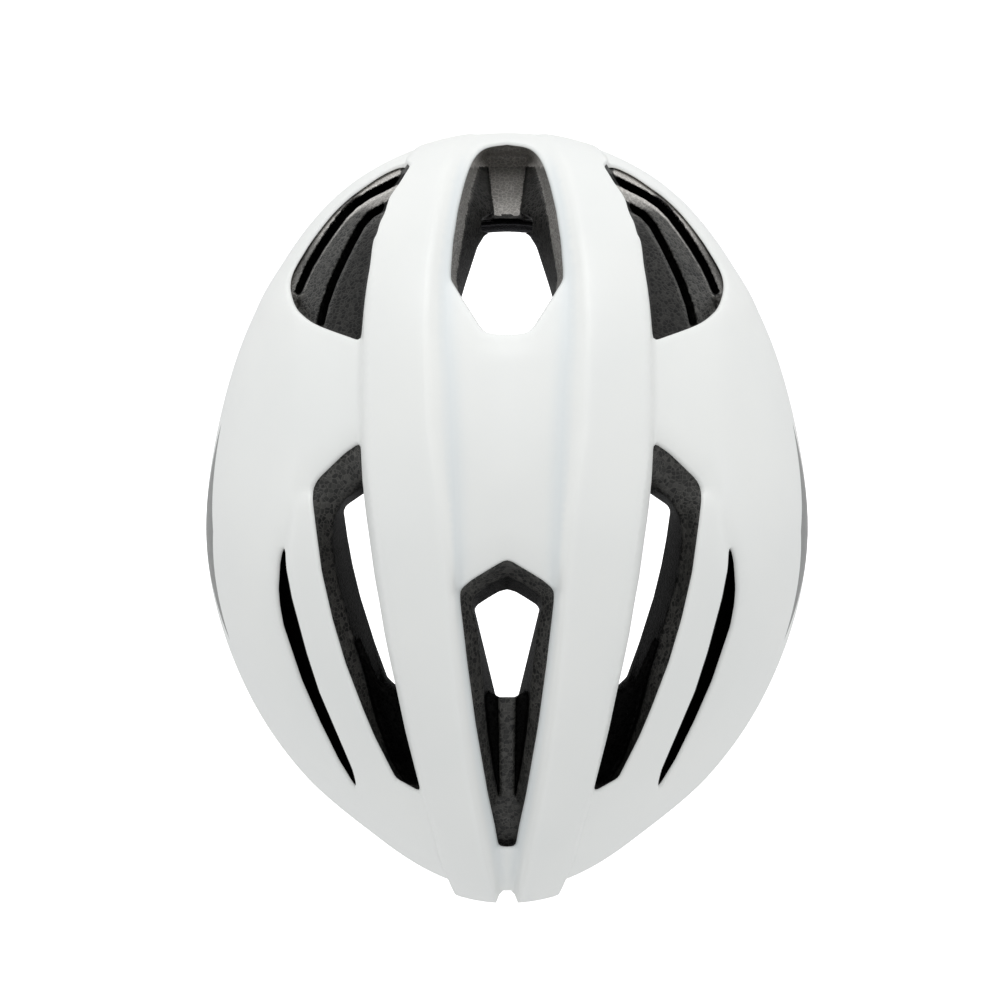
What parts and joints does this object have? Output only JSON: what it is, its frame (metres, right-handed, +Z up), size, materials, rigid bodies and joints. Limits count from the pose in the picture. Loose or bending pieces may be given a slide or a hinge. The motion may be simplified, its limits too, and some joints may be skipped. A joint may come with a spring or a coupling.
{
  "type": "cycling helmet",
  "caption": "Vented road cycling helmet: white shell with raised rails, dark foam liner, pads, webbing straps with magnetic buckle, rear dial cradle with geared size bands.",
  "frame": {"origin": "on the mid plane at half the shell's length, on the rim plane at the height of the underside of the brow", "axes": "+Z up towards the crown, -Y the way the wearer looks, +X the wearer's left"},
  "size_m": [0.218, 0.2777, 0.2714],
  "materials": {
    "shell_white": "satin",
    "shell_black": "satin",
    "eps_foam": "beaded foam",
    "pad_fabric": "brushed knit",
    "hook_tape": "hook tape",
    "webbing": "woven webbing",
    "cradle_plastic": "fine texture",
    "band_plastic": "satin nylon",
    "dial_plastic": "satin",
    "dial_rubber": "soft touch",
    "pinion_plastic": "acetal",
    "screw_steel": "zinc plated",
    "spring_steel": "bright",
    "magnet": "nickel plated",
    "buckle_plastic": "satin acetal",
    "anchor_plastic": "nylon"
  },
  "bodies": {
    "helmet": {"outer_shell": "shell_white", "lower_shell": "shell_black", "foam_liner": "eps_foam", "brow_pad": "pad_fabric", "crown_pad": "pad_fabric", "top_pad_left": "pad_fabric", "top_pad_right": "pad_fabric", "side_pad_left": "pad_fabric", "side_pad_right": "pad_fabric", "pad_hook_dots": "hook_tape", "height_track": "cradle_plastic", "temple_socket_left": "anchor_plastic", "temple_socket_right": "anchor_plastic", "temple_pin_left": "cradle_plastic", "temple_pin_right": "cradle_plastic", "strap_anchors": "anchor_plastic", "strap_front_left": "webbing", "strap_front_right": "webbing", "strap_rear_left": "webbing", "strap_rear_right": "webbing", "divider_body_left": "buckle_plastic", "divider_body_right": "buckle_plastic", "divider_pins": "screw_steel", "chin_strap_left": "webbing", "chin_strap_right": "webbing", "chin_pad": "pad_fabric", "buckle_catch": "buckle_plastic", "catch_magnet": "magnet"},
    "cradle": {"cradle_frame": "cradle_plastic", "dial_housing": "cradle_plastic", "housing_screws": "screw_steel", "detent_spring": "spring_steel", "nape_pad_left": "pad_fabric", "nape_pad_right": "pad_fabric"},
    "dial": {"dial_knob": "dial_plastic", "dial_grip": "dial_rubber", "dial_pinion": "pinion_plastic", "pinion_screw": "screw_steel"},
    "arm_left": {"band_left": "band_plastic"},
    "arm_right": {"band_right": "band_plastic"},
    "buckle_half": {"buckle_slider": "buckle_plastic", "slider_magnet": "magnet"},
    "lever_left": {"divider_lever_left": "buckle_plastic"},
    "lever_right": {"divider_lever_right": "buckle_plastic"},
    "keeper": {"strap_keeper": "dial_rubber"}
  },
  "joints": [
    {"name": "cradle_tilt", "type": "hinge", "parent": "helmet", "child": "cradle", "pos_m": [0, 0.014, 0.028], "axis": [1, 0, 0], "range_deg": [-6, 6]},
    {"name": "dial_turn", "type": "hinge", "parent": "cradle", "child": "dial", "pos_m": [0, 0.096, -0.03], "axis": [0, 1, 0], "range_deg": [-150, 150]},
    {"name": "arm_left_adjust", "type": "hinge", "parent": "cradle", "child": "arm_left", "pos_m": [0, 0.014, 0], "axis": [0, 0, 1], "range_deg": [-8.9, 8.9]},
    {"name": "arm_right_adjust", "type": "hinge", "parent": "cradle", "child": "arm_right", "pos_m": [0, 0.014, 0], "axis": [0, 0, 1], "range_deg": [-8.9, 8.9]},
    {"name": "buckle_slide", "type": "slide", "parent": "helmet", "child": "buckle_half", "axis": [0, 1, 0], "range_m": [0, 0.014]},
    {"name": "divider_lever_left_flip", "type": "hinge", "parent": "helmet", "child": "lever_left", "pos_m": [0.0818, -0.012, -0.0476], "axis": [0, 1, 0], "range_deg": [0, 80]},
    {"name": "divider_lever_right_flip", "type": "hinge", "parent": "helmet", "child": "lever_right", "pos_m": [-0.0818, -0.012, -0.0476], "axis": [0, -1, 0], "range_deg": [0, 80]},
    {"name": "keeper_slide", "type": "slide", "parent": "helmet", "child": "keeper", "axis": [0.3823, -0.3004, -0.8738], "range_m": [-0.01, 0.01]}
  ],
  "couplings": [
    {"joint": "arm_left_adjust", "follows": "dial_turn", "ratio": -0.058747},
    {"joint": "arm_right_adjust", "follows": "dial_turn", "ratio": 0.058747}
  ]
}
